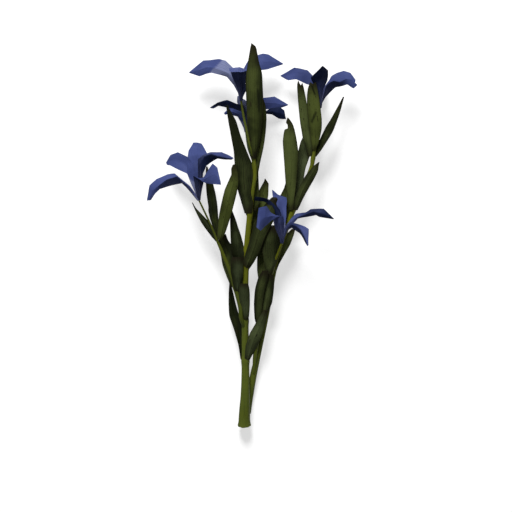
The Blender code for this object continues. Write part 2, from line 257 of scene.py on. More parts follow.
def stem_skin(tree):
    """Yellow-olive skin, greener towards the foot, with fine streaks along the stem."""
    place = piece_place(tree)
    height = add_node(tree, "SeparateXYZ", {0: place}).outputs[1]
    mottle = mottled(tree, 60.0, 900.0)
    streaks = noise(tree, place, 900.0, 3.0, (1, 0.06, 1))
    upper = ramp(tree, height, -0.09, 0.0)
    skin = mixed(tree, upper, (0.072, 0.090, 0.010, 1), (0.100, 0.108, 0.005, 1))
    clouds = calculate(tree, "MULTIPLY", mottle["Clouds"], 0.45)
    skin = mixed(tree, clouds, skin, (0.050, 0.066, 0.012, 1))
    dark_streaks = calculate(tree, "MULTIPLY", ramp(tree, streaks, 0.45, 0.75), 0.5)
    skin = mixed(tree, dark_streaks, skin, (0.028, 0.042, 0.008, 1))
    # Painted shade: stems that lie in shadow are mixed towards dark green.
    skin = mixed(tree, number(tree, "dark_and_shade"), skin, (0.022, 0.034, 0.006, 1))
    relief = calculate(tree, "MULTIPLY_ADD", mottle["Specks"], 0.3, streaks)
    return {
        "Base Color": skin,
        "Roughness": ramp(tree, streaks, 0.2, 0.8, 0.38, 0.58),
        "Specular IOR Level": 0.06,
        "Normal": bump(tree, relief, 0.35, 0.0003),
    }


def cut_face(tree):
    """The cut end: pale, wet pith inside a greener ring."""
    cells = noise(tree, piece_place(tree), 1500.0, 2.0)
    pith = mixed(tree, cells, (0.22, 0.24, 0.09, 1), (0.12, 0.15, 0.04, 1))
    rind = ramp(tree, number(tree, "from_centre"), 0.6, 0.95)
    return {
        "Base Color": mixed(tree, rind, pith, (0.05, 0.07, 0.015, 1)),
        "Roughness": 0.45,
        "Normal": bump(tree, cells, 0.5, 0.0003),
    }


STEM_MATERIALS = [material("stem_skin", stem_skin), material("stem_cut", cut_face)]


def stem(name, points, joints):
    """Rings round a smooth path, closed by a domed face at each end.

    The lower end of the front stem is the cut, and the other lower ends are grown in."""
    length = sum(math.dist(a[:3], b[:3]) for a, b in zip(points, points[1:]))
    samples = even_samples(points, round(length / STEM_STEP))
    places = [Vector(sample[:3]) for sample in samples]
    is_cut = name == "front_stem"
    vertices, faces, kinds, from_centre = [], [], [], []
    for i, (place, along, sample) in enumerate(zip(places, tangents(places), samples)):
        side = square_to(Vector((1, 0, 0)), along)
        up = side.cross(along)
        swell = 1 + JOINT_SWELL * sum(
            math.exp(-(((place.y - height) / JOINT_LENGTH) ** 2)) for height in joints
        )
        slope = along * FOOT_SLANT if is_cut and i == 0 else Vector()
        for k in range(STEM_SIDES):
            turn = 2 * math.pi * k / STEM_SIDES
            radius = sample[3] * swell * (1 + RIB_DEPTH * math.cos(RIBS * turn))
            if is_cut and i < FRAYED_RINGS:
                shift = FRAY_SHIFT * math.sin(FRAY_SHIFTS * turn)
                radius *= 1 + FOOT_FRAY * math.sin(FRAY_WAVES * turn + shift)
            outward = side * math.cos(turn) + (up - slope) * math.sin(turn)
            vertices.append(place + outward * radius)
            from_centre.append(1.0)
    for i in range(len(samples) - 1):
        for k in range(STEM_SIDES):
            here, after = i * STEM_SIDES + k, i * STEM_SIDES + (k + 1) % STEM_SIDES
            faces.append((here, here + STEM_SIDES, after + STEM_SIDES, after))
            kinds.append(0)
    for end, order in ((0, 1), (len(samples) - 1, -1)):
        rim = [end * STEM_SIDES + k for k in range(STEM_SIDES)][::order]
        centre = sum((vertices[k] for k in rim), Vector()) / STEM_SIDES
        inner = []
        for k in rim:
            inner.append(len(vertices))
            vertices.append(centre.lerp(vertices[k], PITH_RING))
            from_centre.append(PITH_RING)
        middle = len(vertices)
        vertices.append(centre)
        from_centre.append(0.0)
        for k in range(STEM_SIDES):
            after = (k + 1) % STEM_SIDES
            faces.append((rim[k], rim[after], inner[after], inner[k]))
            faces.append((inner[k], inner[after], middle))
            kinds += [1, 1] if is_cut and end == 0 else [0, 0]
    shades = [STEM_PAINTED_SHADES.get(name, 0.0)] * len(vertices)
    numbers = {"from_centre": from_centre, "dark_and_shade": shades}
    grown(name + "_rod", vertices, faces, STEM_MATERIALS, kinds, numbers, name)


for name, points in STEMS.items():
    stem(name, points, JOINTS.get(name, ()))

# ---- Leaves ------------------------------------------------------------------------------
# Narrow, leathery strap leaves that clasp the stem at their foot and stand steeply along it.
# Each has a sunken midrib, two fainter side veins, a slightly wavy edge and a worn tip.

LEAF_THICK = 0.7  # at the midrib
THIN_EDGE, THIN_POWER = 0.8, 3  # thickness that leaves and petals lose to the edge, and how late
LEAF_FOLD = 0.22  # rise from midrib to edge, as a share of half of the width
LEAF_FOLD_POWER = 1.4  # 1 is a sharp fold along the midrib, 2 is a round trough
LEAF_FOLD_DROP = 0.5  # share of that rise by which the midrib lies under the outline
LEAF_MARGIN = 0.2  # mm of thin edge outside of the outline
LEAF_FOOT_GAP = 0.2
LEAF_UNROLL = 0.4  # share of the leaf in which it turns from the stem's side to lie flat
STEEPEST_LEAN = 0.8
LEVEL = 0.01  # a leaf that stands out from its stem as level as this has no lean
LEAF_STEPS, LEAF_LANES = 8, 14  # rows from one place to the next, and strips across
LEAF_SOFTNESS = 0.5  # 0 bends the outline sharply at each place, 1 runs smoothly
MIDRIB_DEPTH, MIDRIB_WIDTH = 0.30, 0.10  # mm, and share of half of the width
SIDE_VEINS, SIDE_VEIN_WIDTH, SIDE_VEIN_DEPTH = 0.5, 0.08, 0.10
EDGE_WAVE, WAVE_TURN = 0.3, 9  # mm, and radians over the length of the leaf
WAVE_BY_HEIGHT, WAVE_BY_SIDE = 0.7, 0.05  # where on its wave a leaf starts
MIDRIB_FULL, WAVE_FULL = 2, 3  # mm of half width from which they have their full size
STEM_CHECKS = 160  # places along a stem where a leaf's foot is looked for
TEAR_WIDTH = 0.75  # mm

# For each leaf of a stem, its shape: height of the foot, side of the stem in degrees with 0
# right, 90 up and 270 under, height of the tip above the surface, lift of the middle, depth of
# the notch in the tip. Then its look: tone from 0 dark to 1 light, which is partly its own
# colour and partly painted shade on leaves that lie deep in shadow, greyness, and how much
# painted shade darkens it at the foot, at the tip, and on its right side, or with a minus on its
# left. Then its left and right edge at one place after another from the foot to the tip, as x
# and y in mm.
LEAVES = {
    "front_stem": [
        ((-88, 185, 8.5, -1, 0), (-0.22, 0.4, 0, 0.15, 0.5), (-8.1, -86.5, -6.6, -88),
         (-9.6, -77, -6.7, -78), (-12.6, -66, -6.7, -68), (-15.8, -56.5, -8.2, -59.5),
         (-16.3, -48, -11.1, -50), (-16.2, -40, -13.2, -41), (-15.8, -33.5, -14.9, -33.5)),
        ((-87.5, 40, 18, 0.5, 0), (0.7, 0.6, 0, 0.25, -0.1), (-5, -86.2, -2.2, -88.2),
         (-4.2, -78, 2, -80.8), (-1.6, -69.2, 6.2, -71.8), (2.2, -62.4, 8.6, -64.2), (5.2, -57, 10.2, -58),
         (8.6, -52, 10.8, -52.6)),
        ((-59.5, 75, 19.5, 0.5, 0), (0.52, 0.7, 0, 0.1, 0), (-5.6, -58.6, -3.2, -59),
         (-6.6, -55, -2.3, -57), (-8, -48, -1.7, -49), (-9.2, -41, -1.7, -41), (-8.8, -36, -2.2, -36),
         (-7.9, -33.6, -3, -33.6)),
        ((-23.5, 55, 22.5, 1, 0), (0.4, 0.3, 0, 0.3, -0.1), (-6.3, -20, -2.3, -24.2),
         (-4, -12, 1.5, -18.5), (-1.3, -3, 5.5, -10.5), (1, 6, 9, -1), (4.5, 13.5, 13.2, 7),
         (8, 20, 16.7, 13.6), (11.4, 24, 17.5, 19.8), (14.2, 26.6, 16.9, 22.6), (17.4, 26.4, 18, 25.4)),
        ((-18.5, 170, 17.5, 0, 0), (0.1, 0.7, 0.3, 0, -0.35), (-10.2, -18.2, -6, -18.5),
         (-13.6, -14, -5.8, -12), (-14.6, -7, -6.4, -5.5), (-14.9, 0, -8.2, 1), (-15.1, 6, -9.8, 5.5),
         (-15.2, 11, -11.3, 10.5), (-14.4, 16.8, -13.9, 17.2)),
        ((-10.5, 350, 15, -1.5, 0), (0.55, 0.1, 0, 0, 0), (-2.6, -9, 0, -9), (-1.4, 0, 3.8, 0),
         (-0.6, 10, 6.2, 10), (1, 20, 9.6, 19), (3.2, 28, 11.2, 28), (6.4, 34, 11.4, 34),
         (8.4, 37.6, 11.5, 36.4), (9.2, 40, 9.8, 39.2)),
        ((15, 150, 24, 1.5, 0), (0.05, 0.4, 0, 0.95, 0.15), (-5.2, 15.5, -1, 15.5), (-8, 24, 0.3, 22),
         (-10.2, 32, -1.3, 30.5), (-11.5, 42, 0.4, 41), (-12.1, 52, 0.3, 49), (-12.6, 59, -2.4, 55.5),
         (-14.6, 70, -8, 69.5), (-16.4, 80, -11.2, 79.8), (-17.6, 88, -15, 87), (-17.9, 91, -17.2, 91)),
        ((14, 205, 17, -1, 0), (-0.05, 0.2, 0, 0, 0), (-3.8, 14, -2.2, 14), (-7, 24, -2, 24),
         (-9.8, 34, -4, 34), (-11, 44, -6, 44), (-11.6, 52.5, -10.6, 52.5)),
        ((16, 335, 18.5, -1, 0), (0.3, 0.1, 0.25, 0, 0), (1, 17, 2.4, 17), (1, 24, 5.4, 24),
         (1.5, 31, 4.8, 31), (2.2, 40, 4.4, 40), (3.4, 50.5, 4.2, 50.3)),
        ((51, 70, 36, 3, 0), (0.31, 0.1, 0.15, 0, 0.3), (-0.4, 54, 2.4, 53.5), (-1, 64, 5, 64),
         (-3.1, 76, 6.8, 76), (-3.6, 90, 7.8, 90), (-4.3, 106, 7.3, 103), (-3.7, 113.5, 6.8, 112.5),
         (-2.1, 123.5, 4.6, 121), (-1, 130, 3.1, 129), (-0.2, 133.4, 2.4, 131.2)),
        ((44, 330, 27, 0, 0), (0.52, 0.2, 0.35, 0, 0.2), (2.8, 44, 3.9, 42), (2, 52, 5.4, 50),
         (2, 62, 7.9, 61), (3, 73, 9.4, 72), (4, 82, 10, 81), (5, 89, 9.6, 88), (5, 94, 8.6, 93),
         (4.5, 101, 5.5, 101)),
    ],
    "left_branch": [
        ((-40, 20, 20.5, 0.5, 0), (0.36, 0.8, 0, 0.2, -0.5), (-11.8, -38.5, -8.5, -39.6),
         (-13.2, -33, -7, -33), (-14.6, -26, -6.4, -26), (-14.8, -20, -6.3, -20),
         (-13.6, -15, -6.8, -15.3)),
        ((-30, 265, 13, -0.5, 0), (0.08, 0.1, 0, 0.15, 0.6), (-16.8, -30, -14.2, -30),
         (-18.2, -22, -12.9, -22), (-20.4, -13, -13.2, -13), (-22.7, -7, -14.4, -7),
         (-23.1, -2.4, -17, -3.2), (-19.4, 1, -18.5, 1)),
        ((-36, 185, 13, 0, 0), (0.1, 0.3, 0, 0, 0), (-14.6, -36, -13.4, -36), (-17.6, -29, -15, -29),
         (-20.4, -21, -17.4, -21), (-21.6, -14, -18.8, -14), (-22.6, -8.5, -21.8, -8)),
        ((-4, 70, 29, 1, 0), (0.95, 0, 0, 0.45, -0.1), (-24, -2.8, -21.4, -3.6), (-23.9, 2.5, -18.8, 2),
         (-23.4, 10, -16.2, 9.5), (-21.7, 20, -13.6, 18.5), (-18.9, 31.5, -10.8, 29.5),
         (-15.7, 39, -9.6, 37), (-14.2, 42.4, -10, 43), (-14.3, 46.2, -11, 46.5),
         (-13.2, 49.2, -11.8, 49.6)),
        ((-2.5, 265, 9.5, -1, 0), (0.1, 0, 0, 0.25, -0.3), (-24.4, -2, -23.2, -2), (-27, 5, -23.4, 5),
         (-29.2, 11.5, -23.8, 12), (-30.5, 17.5, -24.2, 18), (-30.4, 20, -24.5, 21.5),
         (-31.7, 29, -25.7, 29), (-32.3, 37, -27.7, 37), (-32.3, 44, -30.2, 44),
         (-32.1, 48.5, -31.5, 48.5)),
        ((-6.5, 175, 17, 0, 0), (0.05, 0.8, 0, 0.1, 0), (-25.2, -4, -23.9, -3.4), (-28.6, -0.4, -25, 2),
         (-32.4, 4.8, -28, 7), (-35.6, 9.6, -32, 11.4), (-38.4, 15, -35.8, 15.4),
         (-40.6, 19.8, -39.4, 19.3), (-42, 23.2, -41.6, 23)),
    ],
    "inner_stem": [
        ((-62, 115, 21, 1, 0), (0.22, 0.3, 0.1, 0, -0.5), (3, -62.3, 4.6, -62), (1.8, -58, 6.2, -58),
         (1.5, -48, 7, -49), (2.2, -38, 8.4, -40), (4.4, -30, 10.6, -31), (7.5, -24.5, 11.4, -24.5)),
        ((-56.5, 30, 18.3, 0.1, 0), (0.37, 0.4, 0, 0.1, 0.45), (6.8, -57, 8.6, -57), (6.6, -51, 11.8, -52),
         (7.4, -43, 13.9, -47), (8.4, -37.5, 14.9, -40), (9.3, -32, 15.4, -34), (10.2, -26, 14.6, -27.4)),
        ((-45, 235, 9, -0.5, 0), (0.45, 0.3, 0, 0, 0.2), (7, -44, 8.6, -44), (5.2, -34, 9.6, -34),
         (3.8, -25, 11, -25), (3.8, -16, 10.2, -15), (4.8, -9, 9.4, -8), (5.6, -4, 6.8, -4)),
        ((-25.5, 130, 19, 0, 0), (0.5, 0.4, 0, 0.5, 0.5), (10.8, -27, 13.6, -26.5), (9, -21, 16.2, -20.5),
         (7.6, -13, 19, -13.5), (7.5, -5, 20.2, -5.5), (10, 3.4, 18.2, 3), (12, 7.2, 15.4, 7.2)),
    ],
    "right_stem": [
        ((-25.5, 345, 12, 0, 0), (0.68, 0.3, 0, 0.4, 0), (15.6, -25.5, 16.8, -25.8),
         (16.4, -19.5, 19, -20), (19, -12.5, 22.8, -13), (21.4, -4.6, 26.5, -6.5), (24.3, 0.8, 29, 0),
         (28.2, 4.8, 30.2, 4.4)),
        ((0.5, 205, 9.5, -0.5, 0), (0.6, 0.3, 0, 0, 0.2), (20.5, 1, 23.2, 1), (18.6, 10, 25.6, 10),
         (17.4, 19, 27.6, 19), (19.6, 27, 27, 27), (22.5, 33, 27, 33), (24.3, 38.5, 25.3, 38.5)),
        ((20, 140, 23, 1, 0), (0.9, 0.2, 0.15, 0, 0.3), (25.8, 18.2, 28.6, 17.8), (25, 26, 29.4, 26),
         (23.7, 36, 30.6, 36), (22.9, 48, 31.8, 48), (22.1, 59, 32.2, 58), (21.7, 66, 31.2, 66),
         (22.8, 73.6, 29.7, 73.6), (25, 74.8, 29.3, 74.8), (25, 77.2, 28.6, 77), (23.9, 79, 27.6, 79),
         (25, 82.3, 25.6, 81.8)),
        ((19, 245, 11.5, -1, 0), (0.55, 0.8, 0, 0, 0), (28.6, 20, 31, 20), (28.8, 28, 34.2, 29),
         (29.6, 38, 36.1, 40), (30.6, 46, 37.5, 47.5), (31.6, 55, 39.6, 53.5), (34.4, 66, 42.2, 63),
         (38, 73, 43, 72), (40.5, 79, 43.4, 79), (42.5, 83, 43.5, 83)),
        ((18, 25, 21.5, 1, 0), (0.4, 0.3, 0, 0.1, -0.15), (28, 18.2, 31.9, 17.8), (30.5, 26.5, 35.2, 25),
         (33.2, 33.5, 39, 32), (36.6, 40.3, 43, 39), (40.2, 45, 45.9, 45), (43.4, 48.7, 46.4, 48.5),
         (46.5, 51.2, 47, 51.3)),
        ((54, 178, 21, -0.5, 3), (0.82, 0.3, 0.6, 0.3, 0), (39.4, 55, 41.9, 55.5), (37.6, 62, 42.4, 62),
         (35.6, 68.5, 41.4, 68), (33.7, 80, 40, 78), (32.7, 90, 39, 87.5), (31.9, 100, 37, 98.5),
         (31.7, 105.3, 35.8, 104.2), (32.4, 108.4, 35, 107)),
        ((60, 90, 28, 1.5, 1.2), (0.85, 0, 0, 0.3, -0.2), (42.2, 60, 44.3, 60), (41.4, 66, 46.6, 65.5),
         (39.9, 76, 48.4, 74), (38.9, 84, 48.5, 81), (38.4, 92, 47.6, 89), (38.6, 98, 46.6, 96),
         (39.1, 102.4, 45.4, 102), (40.6, 106.8, 44.4, 106.8)),
        ((54.5, 340, 20, 0, 0), (0.16, 0.3, 0, 0.1, 0.5), (44, 56, 44.8, 55.2), (45.6, 62, 49, 60.5),
         (48.2, 68.3, 52.8, 66.5), (51.6, 75.5, 56.6, 73.2), (55.2, 81.2, 59.4, 80.4),
         (60, 89.8, 62, 88.2), (63.8, 97, 64.3, 97)),
    ],
}

# Old dark tears of a leaf, each from one end to the other, as shares of the leaf's length from
# its foot and of half of its width to the right.
TEARS = {
    "front_stem_leaf_10": [((0.42, 0.52), (0.60, 0.42))],
    "right_stem_leaf_7": [((0.40, -0.46), (0.56, 0.27)), ((0.83, 0.35), (0.95, -0.2))],
}


def veins_group():
    """Fine parallel veins that run along a leaf or petal and waver a little."""
    inputs = dict.fromkeys(("Along", "Across", "Veins", "Waver"), "Float")
    group, given, result = new_group("Veins", inputs, ("Lines", "Streaks"))
    place = add_node(group, "CombineXYZ", {0: given["Across"], 1: given["Along"]}).outputs[0]
    drift = noise(group, place, 3.0, 2.0, (1, 2, 1))
    bent = calculate(group, "MULTIPLY_ADD", drift, given["Waver"], given["Across"])
    turns = calculate(group, "MULTIPLY", given["Veins"], math.pi)
    wave = calculate(group, "COSINE", calculate(group, "MULTIPLY", bent, turns))
    streaks = noise(group, place, 1.0, 4.0, (9, 0.8, 1))
    set_inputs(group, result, {
        "Lines": ramp(group, calculate(group, "ABSOLUTE", wave), 0.75, 1.0),
        "Streaks": ramp(group, streaks, 0.3, 0.7),
    })
    return group


VEINS = veins_group()


def veined(tree, count, waver):
    """The vein lines and streaks of a leaf or petal."""
    along, across = number(tree, "along"), number(tree, "across")
    inputs = {"Along": along, "Across": across, "Veins": count, "Waver": waver}
    return add_node(tree, "Group", inputs, node_tree=VEINS).outputs


def leaf_skin(tree, light, grey, edge, roughness):
    """Olive leaf skin, paler along the middle, with dark brown scars, edge, tip and foot."""
    along, across = number(tree, "along"), number(tree, "across")
    mottle, veins = mottled(tree, 70.0, 1100.0), veined(tree, 5.0, 0.12)
    from_middle = calculate(tree, "ABSOLUTE", across)
    middle = ramp(tree, from_middle, 0.1, 0.9, 1.0, 0.0)
    # The stored tone is partly the leaf's own colour and partly painted shade where it lies in shadow.
    tone_and_shade = number(tree, "tone_and_shade")
    clouds = calculate(tree, "MULTIPLY_ADD", mottle["Clouds"], 0.4, -0.2)
    share = calculate(tree, "MULTIPLY_ADD", middle, 0.25, calculate(tree, "ADD", tone_and_shade, clouds))
    share = calculate(tree, "MULTIPLY_ADD", veins["Streaks"], 0.22, share)
    share = ramp(tree, share, 0.06, 1.31)
    dark = (0.0035, 0.005, 0.0012, 1)
    olive, bloom = mixed(tree, share, dark, light), mixed(tree, share, dark, grey)
    skin = mixed(tree, number(tree, "greyness"), olive, bloom)
    vein_share = calculate(tree, "MULTIPLY", veins["Lines"], 0.17)
    skin = mixed(tree, vein_share, skin, light)
    rim = ramp(tree, from_middle, 0.82, 1.0, 0.0, 0.7)
    tip = ramp(tree, along, 0.75, 1.0, 0.0, 0.9)
    foot = ramp(tree, along, 0.0, 0.12, 0.7, 0.0)
    worn = calculate(tree, "MAXIMUM", calculate(tree, "MAXIMUM", rim, tip), foot)
    seed = add_node(tree, "CombineXYZ", {0: across, 1: along, 2: tone_and_shade}).outputs[0]
    scars = ramp(tree, noise(tree, seed, 1.0, 2.0, (3, 7, 40)), 0.66, 0.70, 0.0, 0.8)
    skin = mixed(tree, calculate(tree, "MAXIMUM", worn, scars), skin, edge)
    skin = mixed(tree, number(tree, "tear"), skin, dark)
    # Painted shade: where the tone is very low the leaf goes near-black, for leaves that lie deep in
    # shadow.
    skin = mixed(tree, ramp(tree, tone_and_shade, -0.8, -0.2, 0.85, 0.0), skin, dark)
    relief = calculate(tree, "MULTIPLY_ADD", veins["Lines"], -0.6, mottle["Specks"])
    return {
        "Base Color": skin,
        "Roughness": ramp(tree, mottle["Clouds"], 0.0, 1.0, *roughness),
        "Specular IOR Level": 0.05,
        "Normal": bump(tree, relief, 0.3, 0.0002),
    }


# The light, the grey and the edge colour of each side, and the range of its roughness.
FACE_LOOK = (0.059, 0.073, 0.014, 1), (0.052, 0.066, 0.033, 1), (0.010, 0.0075, 0.003, 1), (0.42, 0.6)
BACK_LOOK = (0.056, 0.070, 0.015, 1), (0.047, 0.060, 0.032, 1), (0.009, 0.007, 0.003, 1), (0.6, 0.75)
LEAF_MATERIALS = [
    material("leaf_face", leaf_skin, *FACE_LOOK), material("leaf_back", leaf_skin, *BACK_LOOK)
]


def blade(name, grid, rises, thick, materials, numbers, node):
    """A leaf or petal: two faces on either side of a grid of points, closed all round.

    grid[i][j] runs along by i and from the left edge to the right by j, seen on its inner
    face with the foot below. rises lifts each point towards that face. The edges are thin."""
    rows, lanes = len(grid), len(grid[0])
    vertices, faces, kinds = [], [], []
    for i in range(rows):
        for j in range(lanes):
            along = grid[min(i + 1, rows - 1)][j] - grid[max(i - 1, 0)][j]
            across = grid[i][min(j + 1, lanes - 1)] - grid[i][max(j - 1, 0)]
            normal = across.cross(along).normalized()
            share = abs(2 * j / (lanes - 1) - 1)
            half = thick / 2 * (1 - THIN_EDGE * share**THIN_POWER)
            vertices.append(grid[i][j] + normal * (rises[i][j] + half))
            vertices.append(grid[i][j] + normal * (rises[i][j] - half))
    count = lanes * 2
    for i in range(rows - 1):
        for j in range(lanes - 1):
            a, b = i * count + j * 2, i * count + (j + 1) * 2
            faces.append((a, b, b + count, a + count))
            faces.append((a + 1, a + count + 1, b + count + 1, b + 1))
            kinds += [0, 1]
    for i in range(rows - 1):
        for a, order in ((i * count, 1), (i * count + count - 2, -1)):
            rim = (a, a + count, a + count + 1, a + 1)
            faces.append(rim[::order])
            kinds.append(1)
    for j in range(lanes - 1):
        for a, order in ((j * 2, -1), ((rows - 1) * count + j * 2, 1)):
            rim = (a, a + 2, a + 3, a + 1)
            faces.append(rim[::order])
            kinds.append(1)
    doubled = {}
    for label, values in numbers.items():
        doubled[label] = [value for value in values for _ in range(2)]
    grown(name, vertices, faces, materials, kinds, doubled, node)


def on_stem(stem_name, height):
    """Centre, radius and direction of a stem where its y is the given height."""
    samples = even_samples(STEMS[stem_name], STEM_CHECKS)
    j = max(i for i in range(STEM_CHECKS) if i == 0 or samples[i][1] <= height)
    low, high = samples[j], samples[j + 1]
    t = (height - low[1]) / (high[1] - low[1])
    x, y, z, radius = (p + (q - p) * t for p, q in zip(low, high))
    return Vector((x, y, z)), radius, (Vector(high[:3]) - Vector(low[:3])).normalized()


def eased(value):
    """0 below 0, 1 above 1, and a smooth step between."""
    value = min(1.0, max(0.0, value))
    return value * value * (3 - 2 * value)


def rail_point(points, position, softness):
    """A point of an edge or midrib, which bends more sharply at the given places."""
    index = min(int(position), len(points) - 2)
    straight = points[index].lerp(points[index + 1], position - index)
    return straight.lerp(Vector(curve_point(points, position)), softness)


def torn(tears, s, side, length, half):
    """How much of a tear there is at a place of the leaf, from 0 to 1."""
    most = 0.0
    for (start, start_side), (end, end_side) in tears:
        t = min(1.0, max(0.0, (s - start) / (end - start)))
        off_line = (side - start_side - (end_side - start_side) * t) * half
        off_end = (s - start - (end - start) * t) * length
        most = max(most, math.exp(-(off_line**2 + off_end**2) / TEAR_WIDTH**2))
    return most


def leaf(node, stem_name, shape, look, edges):
    """One leaf, which starts at the stem's side and then lies flat between its two edges."""
    height, side, tip_height, lift, notch = shape
    tone_and_shade, greyness, shaded_foot, shaded_tip, shaded_side = look
    centre, radius, along = on_stem(stem_name, height)
    turn = math.radians(side)
    outward = square_to(Vector((math.cos(turn), 0, math.sin(turn))), along)
    foot_height = centre.z + outward.z * (radius + LEAF_FOOT_GAP + LEAF_THICK / 2)
    heights = [(foot_height,), ((foot_height + tip_height) / 2 + lift,), (tip_height,)]
    lean = -outward.x / outward.z if abs(outward.z) > LEVEL else 0.0
    lean = min(STEEPEST_LEAN, max(-STEEPEST_LEAN, lean))
    face_up = -1 if outward.z > 0 else 1  # a leaf over the stem turns its face to the stem
    rails = [[Vector((*pair[k:k + 2], 0)) for pair in edges] for k in (0, 2)][::face_up]
    start, end = ((rails[0][k] + rails[1][k]) / 2 for k in (0, -1))
    run = end - start
    rows = LEAF_STEPS * (len(edges) - 1)
    phase = height * WAVE_BY_HEIGHT + side * WAVE_BY_SIDE
    grid, rises = [], []
    numbers = {label: [] for label in ("along", "across", "tone_and_shade", "greyness", "tear")}
    for i in range(rows + 1):
        left, right = (rail_point(rail, i / LEAF_STEPS, LEAF_SOFTNESS) for rail in rails)
        middle, reach = (left + right) / 2, (right - left) / 2
        reach *= 1 + LEAF_MARGIN / max(reach.length, LEAF_MARGIN)
        s = min(1.0, max(0.0, (middle - start).dot(run) / run.dot(run)))
        middle.z = curve_point(heights, 2 * s)[0]
        reach.z = lean * reach.x * max(0.0, 1 - s / LEAF_UNROLL)
        half = reach.length
        midrib_share, wave_share = min(1.0, half / MIDRIB_FULL), min(1.0, half / WAVE_FULL)
        row, rise_row = [], []
        for j in range(LEAF_LANES + 1):
            u = 2 * j / LEAF_LANES - 1
            rise = LEAF_FOLD * half * (abs(u) ** LEAF_FOLD_POWER - LEAF_FOLD_DROP)
            rise -= MIDRIB_DEPTH * math.exp(-((u / MIDRIB_WIDTH) ** 2)) * midrib_share
            off_vein = (abs(u) - SIDE_VEINS) / SIDE_VEIN_WIDTH
            rise -= SIDE_VEIN_DEPTH * math.exp(-(off_vein**2))
            rise += EDGE_WAVE * u * abs(u) * math.sin(WAVE_TURN * s + phase + u) * wave_share
            cut = run.normalized() * notch * (1 - abs(u)) * eased(1 - (rows - i) / LEAF_STEPS)
            row.append(middle + reach * u - cut)
            rise_row.append(rise)
            # Painted shade: the foot, the tip and one side are darkened where the leaf lies in shadow. A
            # minus at the tip lightens it instead, as painted light.
            painted_shade = shaded_foot * max(0.0, 1 - 2 * s) + shaded_tip * max(0.0, 2 * s - 1)
            painted_shade += max(0.0, shaded_side * u * face_up)
            numbers["along"].append(s)
            numbers["across"].append(u)
            numbers["tone_and_shade"].append(tone_and_shade - painted_shade)
            numbers["greyness"].append(greyness)
            tear = torn(TEARS.get(node, ()), s, u * face_up, run.length, half)
            numbers["tear"].append(tear)
        grid.append(row)
        rises.append(rise_row)
    blade(node + "_blade", grid, rises, LEAF_THICK, LEAF_MATERIALS, numbers, node)


for stem_name, leaves in LEAVES.items():
    for k, (shape, look, *edges) in enumerate(leaves):
        leaf(f"{stem_name}_leaf_{k + 1}", stem_name, shape, look, edges)

# ---- Flowers -----------------------------------------------------------------------------
# Five petals round each flower stand together in a narrow tube and then arch outwards. They
# are soft and thin, folded along the midrib and where they arch, blue-violet inside, and
# outside near black-blue with lilac stripes.

PETAL_THICK = 0.4
PETAL_MARGIN = 0.15  # mm of thin edge outside of the outline
PETAL_STEPS, PETAL_LANES = 7, 16  # rows from one place to the next, and strips across
TUBE_FOOT, PETAL_FOOT = 0.75, 0.6  # radius of the ring of feet, and width of each
FIRST_PETAL = 10.0  # degrees, with 0 right and 90 away from the viewer
FOLD_SOFTNESS = 0.1  # 0 folds sharply at each place, 1 runs in one smooth curve
PETAL_FOLD_POWER = 1.05  # 1 is a sharp fold along the midrib, 2 is a round trough
RUFFLE, RUFFLE_POWER = 0.3, 3  # mm at the edge, and how little of it reaches the middle
RUFFLE_TURN, RUFFLE_SLANT = 17, 2  # radians along the petal and out to its edge
RUFFLE_CHANGE = 5  # radians by which the petals of a flower differ
PALE_BLUR = 0.08  # share of the petal over which its pale part ends
PALE_SLANT = 0.05  # how much longer the pale part is at the left edge
PETAL_RIBS, PETAL_RIB_HEIGHT = 6, 0.05
PETAL_RIBS_FULL = 3  # mm of half width from which they have their full height
# How ruffles, the outer colour with its painted light and shade, the painted shade on the inner
# face and any relief set in, as eased(rate * share of the length - start): the first two from
# the foot on, and the last two from the tip back.
RUFFLE_RATE, RUFFLE_START = 3, 0.6
LIMB_RATE, LIMB_START = 3, 1.2
INNER_SHADE_RATE, INNER_SHADE_END = 4, 1
RISE_RATE = 6
